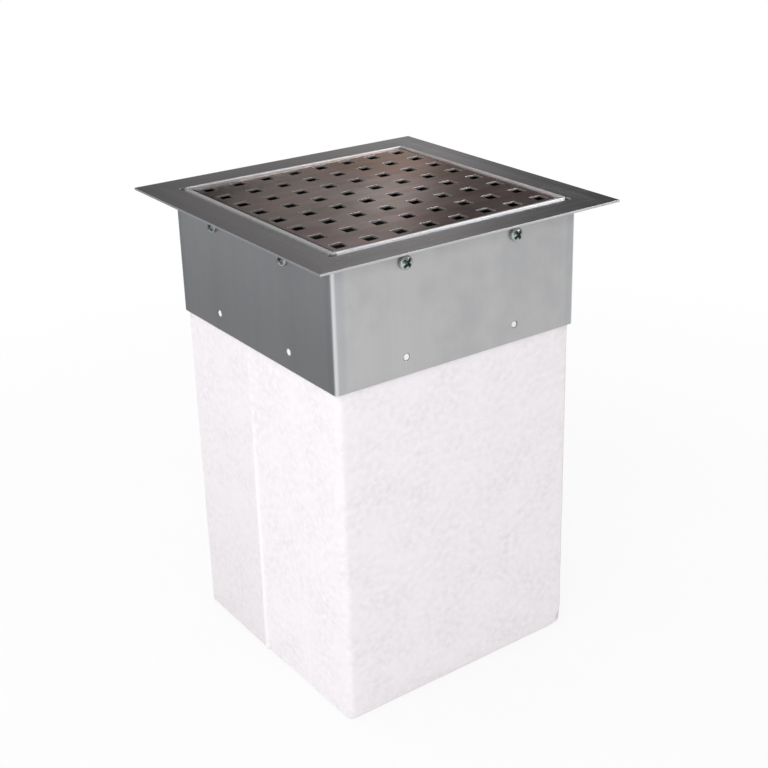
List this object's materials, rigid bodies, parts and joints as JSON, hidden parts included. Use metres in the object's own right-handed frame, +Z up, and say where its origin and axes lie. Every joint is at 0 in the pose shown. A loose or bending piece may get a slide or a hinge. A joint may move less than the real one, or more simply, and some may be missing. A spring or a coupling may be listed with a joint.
{
  "type": "catch basin",
  "caption": "Soakaway catch basin: square stainless flange with a loose perforated grate on a folded sleeve, pushed over an infiltration block wrapped in white filter cloth.",
  "frame": {"origin": "middle of the block's underside, where the basin stands", "axes": "+Z up towards the grate; the cloth's lapped edge is on -X and the sleeve's weld seam on +Y"},
  "size_m": [0.25, 0.25, 0.351],
  "materials": {
    "mineral_wool": "matte",
    "geotextile": "matte",
    "sleeve_steel": "satin",
    "flange_steel": "satin",
    "collar_steel": "satin",
    "grate_steel": "satin",
    "zinc_plate": "satin"
  },
  "bodies": {
    "root": {"core_block": "mineral_wool", "geotextile_wrap": "geotextile", "sleeve": "sleeve_steel", "flange_plate": "flange_steel", "collar": "collar_steel", "grate": "grate_steel", "sleeve_screws": "zinc_plate", "weld_nuts": "zinc_plate"}
  },
  "joints": []
}
